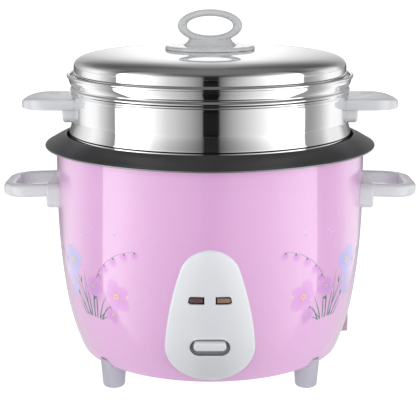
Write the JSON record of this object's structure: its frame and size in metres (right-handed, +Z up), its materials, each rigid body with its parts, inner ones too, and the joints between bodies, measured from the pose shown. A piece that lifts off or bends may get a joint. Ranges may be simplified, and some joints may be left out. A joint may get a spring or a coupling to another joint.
{
  "type": "rice cooker",
  "caption": "Drum rice cooker with a lift-out pot, a steamer basket, a shallow steel lid, side handles, a lever switch and a power inlet at the side.",
  "frame": {"origin": "middle of the footprint, on the surface that the feet stand on", "axes": "+Z up, the control panel faces -Y, the handles lie along X"},
  "size_m": [0.334, 0.2664, 0.2925],
  "materials": {
    "pink_enamel": "gloss enamel",
    "liner_steel": "plain zinc-coated sheet",
    "base_steel": "plain zinc-coated sheet",
    "screw_steel": "nickel plated",
    "foot_plastic": "satin",
    "white_plastic": "satin gloss",
    "panel_plastic": "gloss",
    "brown_lens": "translucent",
    "amber_lens": "translucent",
    "holder_plastic": "plain",
    "lamp_glass": "clear",
    "key_plastic": "gloss",
    "cast_aluminium": "turned",
    "ceramic_insulator": "unglazed",
    "cap_aluminium": "drawn",
    "spring_steel": "plain",
    "ferrite": "matt",
    "phenolic": "matt",
    "contact_bronze": "plain",
    "phenolic_dark": "matt",
    "inlet_plastic": "satin",
    "nonstick": "dark non-stick coating on aluminium",
    "steamer_steel": "polished",
    "lid_steel": "polished",
    "knob_plastic": "translucent"
  },
  "bodies": {
    "cooker_body": {"outer_shell": "pink_enamel", "inner_liner": "liner_steel", "bottom_plate": "base_steel", "bottom_screws": "screw_steel", "foot_front_left": "foot_plastic", "foot_front_right": "foot_plastic", "foot_back_left": "foot_plastic", "foot_back_right": "foot_plastic", "foot_screws": "screw_steel", "body_handle_left": "white_plastic", "body_handle_right": "white_plastic", "handle_screws": "screw_steel", "control_panel": "panel_plastic", "warm_lens": "brown_lens", "cook_lens": "amber_lens", "lamp_holder": "holder_plastic", "neon_lamps": "lamp_glass", "lever_bracket": "liner_steel", "pivot_pin": "screw_steel", "heating_plate": "cast_aluminium", "plate_posts": "screw_steel", "plate_screws": "screw_steel", "element_terminals": "ceramic_insulator", "thermostat_guide": "liner_steel", "cap_spring": "spring_steel", "contact_block": "phenolic", "contact_blades": "contact_bronze", "keep_warm_switch": "phenolic_dark", "thermal_fuse": "ceramic_insulator", "inlet_socket": "inlet_plastic", "inlet_pins": "contact_bronze"},
    "switch": {"switch_lever": "liner_steel", "switch_key": "key_plastic"},
    "plunger": {"plunger_rod": "screw_steel", "thermostat_magnet": "ferrite"},
    "sensor_cap": {"thermostat_cap": "cap_aluminium"},
    "pot": {"inner_pot": "nonstick"},
    "steamer": {"steamer_basket": "steamer_steel", "steamer_floor": "steamer_steel", "steamer_handle_left": "white_plastic", "steamer_handle_right": "white_plastic", "steamer_rivets": "screw_steel"},
    "lid": {"lid": "lid_steel", "knob_disc": "knob_plastic", "knob_ring": "knob_plastic", "knob_screw": "screw_steel", "knob_washer": "screw_steel"}
  },
  "joints": [
    {"name": "key_tilt", "type": "hinge", "parent": "cooker_body", "child": "switch", "pos_m": [0, -0.072, 0.0316], "axis": [1, 0, 0], "range_deg": [0, 4.8]},
    {"name": "plunger_lift", "type": "slide", "parent": "cooker_body", "child": "plunger", "axis": [0, 0, 1], "range_m": [0, 0.0061]},
    {"name": "cap_press", "type": "slide", "parent": "cooker_body", "child": "sensor_cap", "axis": [0, 0, -1], "range_m": [0, 0.0015], "stiffness_N_per_m": 400, "springref_m": -0.004, "deforming": ["cap_spring"]},
    {"name": "pot_lift", "type": "slide", "parent": "cooker_body", "child": "pot", "axis": [0, 0, 1], "range_m": [0, 0.15]},
    {"name": "steamer_lift", "type": "slide", "parent": "pot", "child": "steamer", "axis": [0, 0, 1], "range_m": [0, 0.08]},
    {"name": "lid_lift", "type": "slide", "parent": "steamer", "child": "lid", "axis": [0, 0, 1], "range_m": [0, 0.06]}
  ],
  "couplings": [
    {"joint": "plunger_lift", "follows": "key_tilt", "m_per_rad": 0.072}
  ]
}
